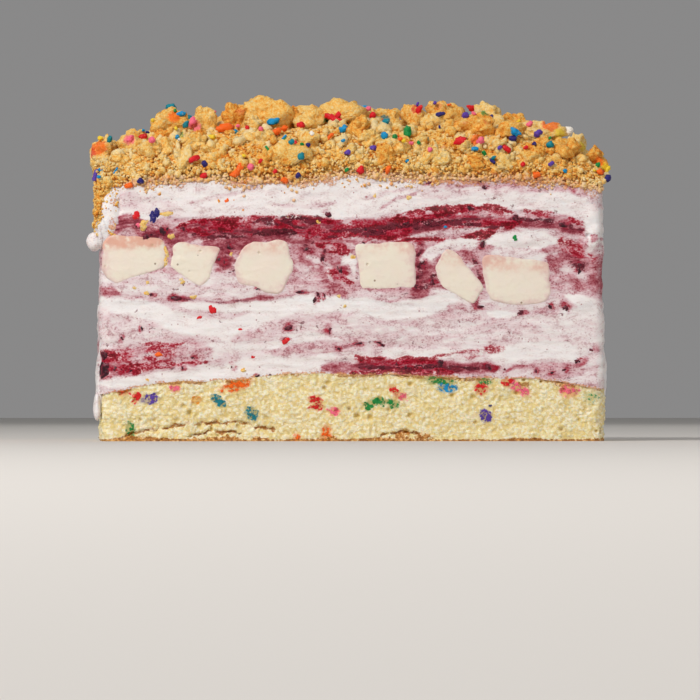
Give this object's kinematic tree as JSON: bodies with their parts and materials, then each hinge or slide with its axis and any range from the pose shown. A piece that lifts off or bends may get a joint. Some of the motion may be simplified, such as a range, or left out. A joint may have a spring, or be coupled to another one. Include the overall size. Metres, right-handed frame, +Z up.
{
  "type": "ice cream cake slice",
  "caption": "Tall slab slice of ice cream layer cake: speckled sponge base, berry-marbled ice cream with cheesecake chunks, a berry ribbon and a golden crumble heap on top.",
  "frame": {"origin": "middle of the slice's underside", "axes": "+Z up; X along the wide cut face, with the crumb-coated outer wall at -X; the cut face that the picture shows looks along -Y, the second cut face along +Y"},
  "size_m": [0.1668, 0.0847, 0.1108],
  "materials": {
    "sponge": "open-pored yellow sponge cake with browned top and bottom skins",
    "cream_lower": "soft satin ice cream, white marbled with lavender pink and crimson",
    "cream_middle": "soft satin ice cream, mauve berry with dark specks",
    "berry_ribbon": "glossy crushed berry ribbon, crimson to dark purple",
    "cream_top": "soft satin ice cream, white with pink streaks",
    "chunk": "dense ivory cheesecake, lightly pitted",
    "crumble": "dry golden baked crumbs with coloured sugar sprinkles"
  },
  "bodies": {
    "root": {"berry_ribbon": "berry_ribbon", "chunk_back_1": "chunk", "chunk_back_2": "chunk", "chunk_back_3": "chunk", "chunk_back_4": "chunk", "chunk_back_5": "chunk", "chunk_front_1": "chunk", "chunk_front_2": "chunk", "chunk_front_3": "chunk", "chunk_front_4": "chunk", "chunk_front_5": "chunk", "chunk_front_6": "chunk", "cream_lower": "cream_lower", "cream_middle": "cream_middle", "cream_top": "cream_top", "crumble": "crumble", "sponge": "sponge"}
  },
  "joints": []
}
